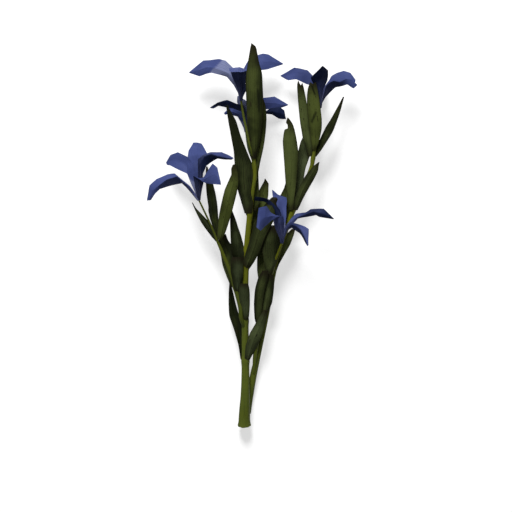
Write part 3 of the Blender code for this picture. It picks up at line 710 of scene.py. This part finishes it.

# Each flower has its foot in mm, the way that it points, and its petals. Each petal has its
# look: the share of its length that is pale inside, how dark its outer face is in the tube and
# on its left and right half, which is partly its own dark colour and partly painted light and
# shade, and how much painted shade darkens its inner face on its left and right half.
# Then come its left edge, midrib and right edge at one place after another, as x, y and z in
# mm from the flower's foot. Left is seen on the inner face.
FLOWERS = {
    "left_flower": ((-37.1, 24.5, 22), (-0.1, 0.94, 0.33), [
        ((0, 1, 1, 0.3, 0.9, 0), (1.6, 7, 1, 0.8, 7, 1.4, 0, 7, 0.6),
         (2.6, 13, 2.5, 1.2, 14, 3, -0.4, 15, 1.5), (3, 19, 3.5, 0.6, 24, 5, -0.8, 28.5, 1.5),
         (5.2, 24.2, 4, 4, 30.4, 6.5, 2.5, 31, 3), (9.2, 26.8, 3.5, 8.5, 32.1, 7, 8.4, 33.3, 4),
         (13.2, 29.3, 3.5, 13.5, 30.5, 6, 15.9, 33.8, 2),
         (19.5, 28.6, 2, 19.8, 29.3, 3.5, 20.3, 31.7, 0.5),
         (22.8, 28.4, 1.5, 23.6, 28.9, 1.5, 24.2, 29.4, 1)),
        ((0.3, 0.8, 0.9, 0.9, 0, 0.35), (-2.6, 5.5, 1.5, -1.5, 5.7, 0.2, -0.2, 6, 0),
         (-5, 11.5, 1.5, -3, 12, 0, -0.6, 12.5, 0), (-8, 18.6, 1, -4.5, 19, -1.5, -0.8, 19.5, -1),
         (-8, 25, -1.5, -3.2, 26, -4, 0.5, 26, -4), (-7.8, 31, -4.5, -2, 32, -6.5, 6.3, 31.8, -9),
         (-7.3, 34.8, -8, -1.8, 36, -10, 4.6, 35, -12), (-4.1, 41, -16, -1.3, 40.9, -16.5, 1.5, 40.3, -17)),
        ((0.3, 0.8, 0.9, 0.9, 0, 0), (-2.8, 6, 0.5, -1.8, 6.3, 0.2, -0.8, 6.5, 0),
         (-5.4, 12, 0, -3.8, 12.6, -0.8, -2, 13.5, -1), (-8.2, 18.6, 0, -6.2, 21.5, -1.5, -4, 25, -1.5),
         (-12, 20.6, -1.5, -11, 26, -3.8, -8, 30.4, -3), (-17, 23, -4, -16.5, 28.5, -6.5, -15, 33.8, -6.5),
         (-20.5, 24.8, -7.5, -20.3, 27.8, -9.5, -20, 32, -9.5),
         (-22.6, 25.2, -11, -22.9, 26, -11.5, -23.3, 26.8, -12)),
        ((0.1, 0.5, 0.9, 0.9, 0.4, 0), (-5, 4.9, 2, -4.1, 5.2, 2.4, -3.2, 5.6, 1.8),
         (-8.8, 9.3, 4.5, -7.7, 9.9, 5.2, -6.4, 10, 4.4),
         (-11.8, 12.1, 4.8, -15.2, 16.4, 10, -16.6, 18.4, 8),
         (-19.5, 10.1, 5.2, -22, 14.3, 12, -21.8, 17.6, 9),
         (-27.3, 7.9, 9.6, -27, 10.6, 11.8, -29.2, 14.8, 8.5),
         (-30.4, 4.4, 10.2, -32, 6.3, 10.6, -34, 10, 9), (-33.3, 0, 9, -34.6, -0.2, 9.4, -35.9, -0.3, 9)),
        ((0.1, 1, 1, 1, 0.12, 0), (1.3, 3, 1.8, 0, 3, 2.6, -1.2, 3, 1.8),
         (2.3, 8.5, 3.8, -0.2, 8.7, 5.4, -2.5, 9.5, 3.8), (3.5, 13.2, 6, 0, 15, 8, -3.7, 17, 6.5),
         (3.1, 15.8, 7.5, 1.8, 15, 9.8, 0.2, 14.8, 9.6), (4.2, 17.2, 10, 4.6, 14.6, 12.5, 5.2, 11.8, 12),
         (10, 25, 15, 9.9, 17.5, 18, 9.8, 11.1, 18.5), (13.2, 22.2, 19, 13, 16.5, 21.5, 13, 10.7, 22),
         (15.3, 12.8, 22.5, 15.5, 11.6, 24, 15.6, 10.4, 24)),
    ]),
    "top_flower": ((-7.7, 94.2, 20), (-0.05, 0.93, 0.35), [
        ((0.3, 0.8, 0.9, 0.9, 0.2, 0), (0, 6, 0.2, 0.8, 6, 0.8, 1.6, 6, 0.8),
         (0.2, 13, -0.5, 1.5, 13, 0, 2.6, 12.5, 1), (1, 20.5, -2, 3.5, 19, -0.5, 4.5, 16.5, 1),
         (4.8, 28, -4.5, 7.5, 23.5, -2, 8.8, 19.5, 0), (11, 32, -5.5, 12.5, 27, -3, 13.5, 21.6, -1.5),
         (15.3, 33.1, -5.5, 16.5, 27.5, -3.5, 18.6, 22.3, -3),
         (19.4, 32.7, -6, 21.5, 27.3, -4.5, 23, 23.8, -4.5),
         (29.2, 26.5, -6, 29.5, 26.2, -6, 29.2, 25.9, -6)),
        ((0.3, 0.8, 0.9, 0.9, 0, 0), (-0.8, 6, -0.5, 0.2, 6, -0.8, 1.2, 6, -0.5),
         (-1, 13, -3, 1, 13, -3.8, 2.8, 12.5, -3), (1, 20, -6.5, 4, 19.5, -7.8, 7.5, 18, -6.5),
         (5, 26.5, -10, 8, 26, -11, 12, 22.5, -9.5), (7.5, 31, -13.5, 10, 30.5, -14, 12, 27, -13),
         (10, 31.5, -17.5, 10.5, 31, -18, 11, 30, -17.5)),
        ((0.62, 0.3, 1, 0.6, 0, 0), (-2, 5.5, 0.8, -1.3, 5.6, 1.2, -0.2, 6, 0.2),
         (-5, 11, 1, -3.4, 12, 2, -1, 13, -0.5), (-9.8, 16.6, 1.6, -8.6, 18.8, 2.8, -5.1, 22.3, -1),
         (-14.5, 18.2, 1, -12.4, 20.5, 2.3, -10.8, 28.3, -2.6),
         (-20.5, 19.7, -0.4, -18.8, 23, 0.4, -15.2, 29.2, -3),
         (-24, 19.2, -2, -24, 23.5, -1.8, -21.5, 28.5, -3.8),
         (-29, 17.4, -2.9, -29.5, 21.5, -2.4, -26.5, 28.4, -4),
         (-36.2, 19.8, -3, -36.4, 20, -3, -36, 20.4, -3)),
        ((0.6, 0.5, 0.9, 0.9, 0, 0), (1, 3.5, 2, 0, 3.5, 2.8, -0.9, 3.5, 2),
         (2, 8, 3.5, -0.4, 8.5, 5.2, -2.7, 8.5, 3.5), (3.2, 13, 4.5, -0.5, 13.5, 7.2, -4.6, 13.3, 4.5),
         (3.6, 18.8, 6, -1.5, 19.4, 9, -6.6, 18.6, 6.5), (4.2, 21.2, 8.8, -1, 22.6, 11.5, -7.8, 22, 8.8),
         (3.6, 20, 14.5, -1.5, 21, 17, -7.9, 20.2, 14), (1.5, 18.7, 20, -2, 19.4, 22, -6, 18.8, 19.5),
         (-1, 18.4, 24.8, -1.5, 18.5, 25, -2, 18.5, 24.8)),
        ((0.3, 0.3, 0.9, 0.9, 0, 0), (1.5, 3, 1.8, 0.8, 3, 2.2, 0, 3, 1.8),
         (3.2, 6.5, 3.5, 2.3, 7, 4.5, 1.2, 8, 4), (5.5, 8.5, 6, 4.8, 10.3, 7, 3.8, 12, 6),
         (7, 8, 8, 7.2, 10.5, 9.5, 7.5, 13, 8.5), (8, 5.5, 9, 9.2, 7.5, 10, 10.5, 9, 9),
         (9.2, 3.8, 9, 9.5, 3.9, 9.2, 9.8, 4.2, 9)),
    ]),
    "rear_flower": ((-4.2, 72.5, 13), (0, 0.97, 0.15), [
        ((0.3, 0.8, 0.9, 0.9, 0.4, 0.3), (0.2, 5.5, 0, 0.9, 5.5, 0.5, 1.7, 5.5, 0.5),
         (0.5, 11.5, -0.5, 2, 11, 0.5, 3.2, 10.5, 0.5), (3, 17.5, -1.5, 5, 15.5, 0.5, 6.5, 12.5, 0.5),
         (8, 22.8, -3, 9.5, 18.5, -1, 10.5, 15.5, -1), (12.5, 24.2, -3.5, 14, 20.5, -1.5, 15, 16.4, -2),
         (20, 25.2, -4, 20.5, 20.5, -2.5, 20.5, 16.1, -3), (25, 22.2, -4, 25, 19.5, -3.5, 24.5, 17.4, -4),
         (29.4, 19.6, -4, 29.7, 19.3, -4, 29, 19, -4)),
        ((0.9, 0.8, 0.9, 0.9, 0, 0), (-1.2, 5.5, -0.5, 0, 5.5, -0.8, 1.2, 5.5, -0.5),
         (-1.8, 12, -1.5, 0, 12, -2.5, 1.8, 12, -1.5), (-4, 17.5, -4, -1, 18, -5, 2.5, 18, -4.5),
         (-6.2, 21.5, -6.5, -3, 22, -7.5, 1.5, 21.5, -7.5), (-6.2, 25.5, -9, -4, 25, -10, 0, 22.5, -10.5),
         (-5.6, 26, -12, -5, 25.7, -12.1, -4.4, 25.2, -12)),
        ((0.3, 1, 1, 1, 0, 0), (0.5, 5.5, 1, 0, 5.5, 1.8, -1, 5.5, 1),
         (0.5, 12, 2, -0.5, 11, 1.6, -2, 10, 0.4), (-1.5, 18.4, 3.4, -3.5, 16.5, 1.8, -4.5, 13.3, -0.8),
         (-7, 20, 2.8, -8, 18.2, 1.3, -9.5, 15.8, -1), (-13.3, 22.2, 2.8, -13.8, 20, 1.2, -14, 17.7, -0.9),
         (-20, 20.7, 2.2, -19.8, 19.6, 1.2, -19.5, 18.4, 0.2), (-25, 17.3, 2, -25.2, 17, 2, -23, 16.6, 2)),
        ((0.3, 0.8, 0.9, 0.9, 0.2, 0.5), (-1.6, 3, 1.5, -0.8, 3, 2.2, 0.3, 3, 1.8),
         (-3.8, 7.6, 3, -2, 8, 4, 0.8, 8, 3.5), (-6, 10.8, 4.5, -4.8, 12.2, 5.5, -2.5, 13.8, 5),
         (-9.6, 12, 6, -9.5, 14, 7, -8.5, 16.1, 6), (-12.5, 12.6, 6.2, -12.8, 14.5, 6.8, -12, 16.6, 6.3),
         (-14.6, 12.1, 5.6, -15.3, 13, 5.6, -14.5, 13.9, 5.6)),
        ((0.3, 0.9, 1, 0.9, 0, 0), (1.5, 3, 1.5, 0.8, 3, 2, 0, 3, 1.5),
         (3.5, 7, 2.5, 2.2, 7.5, 3.5, 1, 8, 2.5), (8, 10, 3.5, 7, 11, 4.5, 6, 12, 3.5),
         (14.2, 13, 3.5, 14.2, 14, 4.2, 14.3, 15, 3.5), (18, 12.4, 3, 18, 14.5, 4.5, 17.5, 16.4, 3),
         (22.5, 9.7, 2.5, 22.8, 13.5, 4.5, 23.8, 17.4, 3), (25.2, 9.3, 2, 26, 12.5, 3.5, 26.9, 15.2, 2),
         (28, 9.2, 1.8, 27.9, 9.6, 1.8, 27.6, 10.2, 1.8)),
    ]),
    "low_flower": ((21, -5.3, 22), (-0.05, 0.9, 0.4), [
        ((0.3, 0.1, 0.9, 0.8, 0, 0), (2.2, 6, 1.5, 1.6, 6.3, 1.8, 0.8, 6.5, 0.8),
         (5.5, 12, 2, 4.6, 12.7, 2.6, 3.5, 13, 1), (8.2, 14.3, 2, 7.5, 16.3, 2.5, 6.5, 17.2, 1),
         (11, 17, 2, 11.5, 18.5, 3, 10, 20.2, 1), (17, 18.3, 2, 17.5, 20.3, 3.5, 16.5, 21.5, 1.5),
         (23.7, 19.7, 2, 21.5, 21.8, 3.5, 20, 23.6, 1.5), (26, 18.2, 2, 27, 21, 3.5, 29, 23.7, 1.5),
         (36, 16.7, 2, 36.1, 16.9, 2.2, 35.9, 17.2, 2)),
        ((0.3, 0.8, 0.9, 0.9, 0.25, 0), (-1, 6, -0.3, 0.2, 6, -0.6, 1.4, 6, -0.3),
         (-1, 13, -1, 0.8, 13, -2, 2.2, 13, -1), (-0.8, 19, -2, 1, 19.3, -3.3, 2.8, 19.2, -2.5),
         (-3.2, 24.5, -4, 0.2, 25, -5.5, 2.9, 25, -5), (-4.4, 28, -6, -0.5, 29, -7.2, 3.3, 29, -7),
         (-6, 30.8, -7.5, -2, 32, -8.5, 3, 32, -8.5), (-6.5, 33.8, -9, -4.8, 33.8, -9.3, -2.8, 33.9, -9.5),
         (-6.8, 37.2, -10, -6.6, 37.4, -10, -6.3, 37.1, -10)),
        ((0.3, 1, 0.9, 0.9, 0, 0), (0.3, 6, 1, -0.3, 6, 1.5, -1, 6, 1),
         (0.5, 13, 1, -0.6, 13, 1.8, -2.2, 13, 1), (-0.5, 20, 0.5, -1.8, 19.6, 1.5, -3.7, 18.9, 0.4),
         (-2, 23.9, 1.4, -3.8, 23.2, 1, -5.6, 22.6, 0.1), (-5, 26.2, 1.5, -6, 25.2, 0.9, -7, 24.2, 0.1),
         (-9.5, 30.2, 2.2, -9.9, 29.1, 1.2, -10.4, 27.9, 0.2),
         (-13, 31.7, 3, -13, 30.4, 1.8, -13, 29, 0.5),
         (-18.8, 32.2, 2.6, -19.2, 31, 1.5, -19.2, 29.9, 0.5)),
        ((0.1, 0.45, 0.9, 0.9, 0, 0), (1, 3.5, 2, -0.2, 3.5, 2.8, -1.6, 3.5, 2),
         (1.5, 9, 4, -1.3, 9, 5.8, -4.2, 9, 4), (1.5, 14, 5.5, -2, 14, 8, -5.7, 13.5, 5.5),
         (0.5, 18.6, 7, -3, 18.8, 9.2, -6.2, 17.2, 8), (-3.5, 18.2, 10.5, -4.6, 19, 11, -5.6, 19.9, 10.2),
         (-8, 15.6, 13.5, -8.3, 18.5, 14.8, -8, 21.2, 13),
         (-11.5, 12, 17, -12.5, 17.5, 18.8, -11.2, 25.3, 16),
         (-13.8, 9.6, 19.5, -15.3, 15, 21, -16.3, 24, 19),
         (-15.3, 8.5, 21.5, -16.6, 9.6, 22.5, -17.8, 10.8, 22)),
        ((0.3, 0.55, 0.95, 0.05, 0, 0), (2, 4.5, 2.5, 1.2, 4.7, 3.2, 0.5, 5, 2.5),
         (3.7, 8.8, 4.5, 3.2, 10, 5.8, 2.4, 12, 4.5), (6.6, 10.6, 6.5, 6.3, 12.8, 8.2, 6.3, 14.4, 6.5),
         (9.2, 9.2, 8.5, 9.8, 11.8, 11.8, 10.5, 13.4, 9.5),
         (11.8, 7, 11, 12.6, 9.4, 14.8, 15.5, 11.2, 12.5), (14.6, 3, 14, 15.2, 4.5, 17, 18.3, 9.6, 15),
         (16.8, -0.7, 18, 16.9, 0, 19, 18.1, 4.5, 17.5), (17.3, -1.9, 20, 17.6, -2, 20.2, 18, -1.6, 20)),
    ]),
    "right_flower": ((47.6, 89.3, 18), (0, 0.95, 0.3), [
        ((0.15, 0.6, 0.9, 0.9, 0.25, 0.85), (0.6, 3.5, 1.2, 1, 3.5, 1.6, 1.5, 3.5, 1.2),
         (1.2, 9, 2, 2.5, 9, 4, 3.8, 7.6, 1.8), (3, 14.5, 2, 4.2, 15.3, 5.6, 6.2, 10.2, 0.6),
         (6.5, 19.2, 2, 7, 17.7, 6, 8.5, 12.4, 0), (8.3, 22, 1.5, 9.3, 18.6, 6, 11, 14.5, 0.8),
         (12, 24.4, 1, 13.5, 17.8, 5, 14.5, 15.3, 2), (16.7, 26, 0, 18, 20, 3, 19, 16.5, 2),
         (21.2, 24.4, 1, 22, 19.5, 3, 21.6, 14.5, 2.5), (24.8, 19.2, 2.4, 24, 17.4, 3, 23.4, 13.6, 2.8),
         (23.9, 18, 2.8, 24.4, 16.6, 3, 24.6, 14.6, 2.8), (25.9, 16, 3, 25.8, 15.7, 3, 25.5, 15.3, 3)),
        ((0.3, 0.8, 0.9, 0.9, 0, 0), (-1, 5, -0.8, 0, 5, -1.2, 1, 5, -0.8),
         (-2, 10, -3, -0.3, 10.3, -4, 1.5, 10, -3), (-4.5, 14.5, -6, -0.5, 15, -7, 3.5, 14.5, -6),
         (-5.5, 18, -9.5, -0.8, 18.6, -10.5, 4, 17.5, -9.5),
         (-4, 19.5, -13.5, -1, 20, -14, 2.5, 19, -13.5),
         (-1.5, 18.2, -17, -1, 18.2, -17.1, -0.5, 18.2, -17)),
        ((0.3, 0.8, 0.9, 0.9, 0.5, 0.3), (-2.2, 5, 0.5, -1.2, 5.5, 0.2, -0.2, 6, 0),
         (-4.5, 10.5, 0, -3, 12, -0.8, -1.2, 13.5, -1), (-6.9, 16.2, 0, -6, 18.5, -1.5, -4.2, 21.5, -2),
         (-9.5, 16.9, -1, -9.5, 21.5, -3, -8.5, 26.4, -3.5),
         (-16.5, 20.2, -3, -15.5, 24, -4.2, -13.8, 27.8, -4.5),
         (-22.2, 19.8, -5, -20.5, 23.7, -5.8, -18, 28.4, -5.5),
         (-25, 21.3, -6.3, -24.5, 23, -6.6, -23, 25.6, -6.5),
         (-27.4, 22.7, -7, -27.7, 23, -7, -27.3, 23.2, -7)),
        ((0.3, 0.75, 0.9, 0.9, 0, 0), (0, 3.5, 1.8, -0.6, 3.3, 2.2, -1.2, 3, 1.8),
         (-0.8, 8, 4, -1.8, 7, 4.8, -2.6, 6, 4), (-2.5, 10.5, 4.8, -3.3, 9, 5.8, -3.8, 7, 4.8),
         (-5, 11.5, 4.8, -5.5, 9, 5.8, -5.2, 6.5, 4.5), (-7.5, 8.5, 4, -7.2, 6.5, 4.6, -6.3, 5, 3.8),
         (-7.3, 3.2, 3, -7, 3, 3, -6.7, 3, 3)),
        ((0.3, 0.6, 0.9, 1, 0, 0), (0.8, 3, 1.5, 0, 3, 2.2, -0.8, 3, 1.5),
         (1, 8, 3.5, -0.3, 8.5, 4.8, -1.6, 9, 3.5), (2.2, 13.5, 5.5, -0.7, 14, 7.2, -3.5, 14.5, 5.5),
         (5, 18.5, 8, 0.5, 19, 10.5, -5.2, 17.6, 8.5), (5.2, 21.5, 11, 0.8, 21.5, 13.5, -6.7, 20.3, 11),
         (5.1, 25.2, 16.5, 1, 25.5, 17, -2.5, 24.5, 15.5), (1.6, 27.9, 20, 1.3, 28, 20, 1, 27.8, 19.8)),
    ]),
}


def petal_surface(tree, skin, mottle, veins):
    """A petal's colour, with a soft sheen and a fine relief."""
    relief = calculate(tree, "MULTIPLY_ADD", mottle["Specks"], 0.4, veins["Lines"])
    return {
        "Base Color": skin,
        "Roughness": ramp(tree, mottle["Clouds"], 0.0, 1.0, 0.55, 0.7),
        "Specular IOR Level": 0.06,
        "Normal": bump(tree, relief, 0.3, 0.0002),
    }


def petal_inside(tree):
    """Blue-violet with darker veins, and paler lilac-grey down in the throat."""
    mottle, veins = mottled(tree, 90.0, 1600.0), veined(tree, 6.0, 0.2)
    clouds = calculate(tree, "MULTIPLY", mottle["Clouds"], 0.7)
    skin = mixed(tree, clouds, (0.036, 0.050, 0.149, 1), (0.029, 0.040, 0.121, 1))
    pale = calculate(tree, "MULTIPLY_ADD", veins["Streaks"], 0.25, number(tree, "pale"))
    skin = mixed(tree, ramp(tree, pale, 0.2, 1.1), skin, (0.115, 0.130, 0.225, 1))
    lines = calculate(tree, "MULTIPLY", veins["Lines"], 0.3)
    skin = mixed(tree, lines, skin, (0.024, 0.030, 0.100, 1))
    # Painted shade: the inner face is darkened near-black on the half that faces away from the lamp.
    skin = mixed(tree, number(tree, "painted_inner_shade"), skin, (0.003, 0.006, 0.028, 1))
    tube = ramp(tree, number(tree, "along"), 0.12, 0.35, 0.5, 0.0)
    stripes = calculate(tree, "MULTIPLY", tube, ramp(tree, veins["Streaks"], 0.35, 0.65))
    skin = mixed(tree, stripes, skin, (0.150, 0.155, 0.270, 1))
    return petal_surface(tree, skin, mottle, veins)


def petal_outside(tree):
    """Near black-blue, paler or darker by painted light and shade, with lilac stripes up the tube."""
    mottle, veins = mottled(tree, 80.0, 1600.0), veined(tree, 5.0, 0.25)
    clouds = calculate(tree, "MULTIPLY_ADD", mottle["Clouds"], 0.3, -0.15)
    # Painted light and shade: the stored darkness is partly the outer face's own colour, and partly makes
    # halves that face the lamp paler and halves that face away darker.
    dark_and_shade = calculate(tree, "ADD", clouds, number(tree, "dark_and_shade"))
    darkness = ramp(tree, dark_and_shade, 0.0, 1.0)
    skin = mixed(tree, darkness, (0.040, 0.053, 0.150, 1), (0.003, 0.0065, 0.026, 1))
    tube = ramp(tree, number(tree, "along"), 0.12, 0.45, 0.7, 0.0)
    stripes = calculate(tree, "MULTIPLY", tube, ramp(tree, veins["Streaks"], 0.4, 0.8))
    skin = mixed(tree, stripes, skin, (0.130, 0.135, 0.260, 1))
    lines = calculate(tree, "MULTIPLY", veins["Lines"], 0.35)
    skin = mixed(tree, lines, skin, (0.003, 0.005, 0.020, 1))
    return petal_surface(tree, skin, mottle, veins)


PETAL_MATERIALS = [
    material("petal_inside", petal_inside), material("petal_outside", petal_outside)
]


def petal(node, foot, outward, look, places):
    """One petal, from its foot in the ring up the tube and out to its tip."""
    rails = [[foot + Vector(place[k:k + 3]) for place in places] for k in (0, 3, 6)]
    across = (rails[2][0] - rails[0][0]).normalized()
    for k, rail in enumerate(rails):
        rail.insert(0, foot + outward * TUBE_FOOT + across * (k - 1) * PETAL_FOOT / 2)
    pale_end, tube_shade, left_shade, right_shade, left_inner_shade, right_inner_shade = look
    rows = PETAL_STEPS * len(places)
    phase = foot.x + RUFFLE_CHANGE * outward.x
    grid, rises = [], []
    numbers = {label: [] for label in ("along", "across", "pale", "dark_and_shade", "painted_inner_shade")}
    for i in range(rows + 1):
        s = i / rows
        left, ridge, right = (
            rail_point(rail, i / PETAL_STEPS, FOLD_SOFTNESS) for rail in rails
        )
        half = (right - left).length / 2
        reach = (right - left) / 2
        reach *= 1 + PETAL_MARGIN / max(reach.length, PETAL_MARGIN)
        rib_share = min(1.0, half / PETAL_RIBS_FULL)
        ruffle_share = eased(RUFFLE_RATE * s - RUFFLE_START)
        limb_share = eased(LIMB_RATE * s - LIMB_START)
        row, rise_row = [], []
        for j in range(PETAL_LANES + 1):
            u = 2 * j / PETAL_LANES - 1
            fold = ((left + right) / 2 - ridge) * abs(u) ** PETAL_FOLD_POWER
            row.append(ridge + reach * u + fold)
            ruffle = RUFFLE * abs(u) ** RUFFLE_POWER
            rise = ruffle * math.sin(RUFFLE_TURN * s + RUFFLE_SLANT * u + phase) * ruffle_share
            rise += PETAL_RIB_HEIGHT * math.cos(PETAL_RIBS * math.pi * u) * rib_share
            rise_row.append(rise * eased(RISE_RATE * (1 - s)))
            turned = eased(2 * u + 0.5)  # 0 on the left half and 1 on the right
            # Painted light and shade on the outer face's halves, and painted shade on the inner face's
            # halves.
            limb = left_shade + (right_shade - left_shade) * turned
            painted_inner_shade = left_inner_shade + (right_inner_shade - left_inner_shade) * turned
            past_pale = (s - pale_end + PALE_SLANT * u) / PALE_BLUR + 0.5
            numbers["along"].append(s)
            numbers["across"].append(u)
            numbers["pale"].append(1 - eased(past_pale))
            numbers["painted_inner_shade"].append(painted_inner_shade * eased(INNER_SHADE_RATE * (1 - s) - INNER_SHADE_END))
            numbers["dark_and_shade"].append(tube_shade + (limb - tube_shade) * limb_share)
        grid.append(row)
        rises.append(rise_row)
    blade(node + "_skin", grid, rises, PETAL_THICK, PETAL_MATERIALS, numbers, node)


for flower, (foot, axis, petals) in FLOWERS.items():
    axis = Vector(axis).normalized()
    right = square_to(Vector((1, 0, 0)), axis)
    back = axis.cross(right)
    for k, (look, *places) in enumerate(petals):
        ring_turn = math.radians(FIRST_PETAL + 360 * k / len(petals))
        outward = right * math.cos(ring_turn) + back * math.sin(ring_turn)
        petal(f"{flower}_petal_{k + 1}", Vector(foot), outward, look, places)

# ---- Surface, light and camera -----------------------------------------------------------
# The plant lies on a wide, plain, pale surface. A broad soft lamp stands beyond the flowers
# and above them, and the camera looks straight down.

FLOOR_SIZE = 8.0  # metres
CAMERA_HEIGHT = 2.0  # metres above the plant's middle
VIEW_WIDTH = 0.3584  # metres seen there
VIEW_MIDDLE = (0.0028, -0.01435, 0.018)


def seen_directly(tree):
    """1 where the camera looks at a surface, also in a mirror or through glass, and else 0."""
    rays = add_node(tree, "LightPath", {}).outputs
    seen = calculate(tree, "MAXIMUM", rays["Is Camera Ray"], rays["Is Glossy Ray"])
    return calculate(tree, "MAXIMUM", seen, rays["Is Transmission Ray"])


def floor_paint(tree):
    return {
        "Base Color": (0.5, 0.5, 0.5, 1),
        "Roughness": 0.9,
        "Specular IOR Level": 0.0,
        "Emission Color": (1, 1, 1, 1),
        "Emission Strength": calculate(tree, "MULTIPLY", seen_directly(tree), 0.58),
    }


mesh = bpy.data.meshes.new("floor")
half = FLOOR_SIZE / 2
corners = [(-half, -half, 0), (half, -half, 0), (half, half, 0), (-half, half, 0)]
mesh.from_pydata(corners, [], [(0, 1, 2, 3)])
mesh.materials.append(material("pale_floor", floor_paint))
floor = bpy.data.objects.new("floor", mesh)
bpy.context.scene.collection.objects.link(floor)

light = bpy.data.lights.new("key_lamp", "AREA")
light.shape = "DISK"
light.size = 0.7
light.energy = 47.0
lamp = bpy.data.objects.new("key_lamp", light)
lamp.location = (-0.25, 1.35, 1.05)
lamp.rotation_euler = (-lamp.location).to_track_quat("-Z", "Y").to_euler()
bpy.context.scene.collection.objects.link(lamp)

world = bpy.data.worlds.new("room")
world.use_nodes = True
sky = world.node_tree.nodes["Background"]
seen = seen_directly(world.node_tree)
strength = ramp(world.node_tree, seen, 0.0, 1.0, 0.24, 1.0)
set_inputs(world.node_tree, sky, {"Color": (1, 1, 1, 1), "Strength": strength})
bpy.context.scene.world = world

camera_data = bpy.data.cameras.new("camera")
camera_data.sensor_width = 36.0
camera_data.lens = camera_data.sensor_width * CAMERA_HEIGHT / VIEW_WIDTH
camera = bpy.data.objects.new("camera", camera_data)
camera.location = (*VIEW_MIDDLE[:2], VIEW_MIDDLE[2] + CAMERA_HEIGHT)
bpy.context.scene.collection.objects.link(camera)
bpy.context.scene.camera = camera
bpy.context.scene.view_settings.view_transform = "Standard"
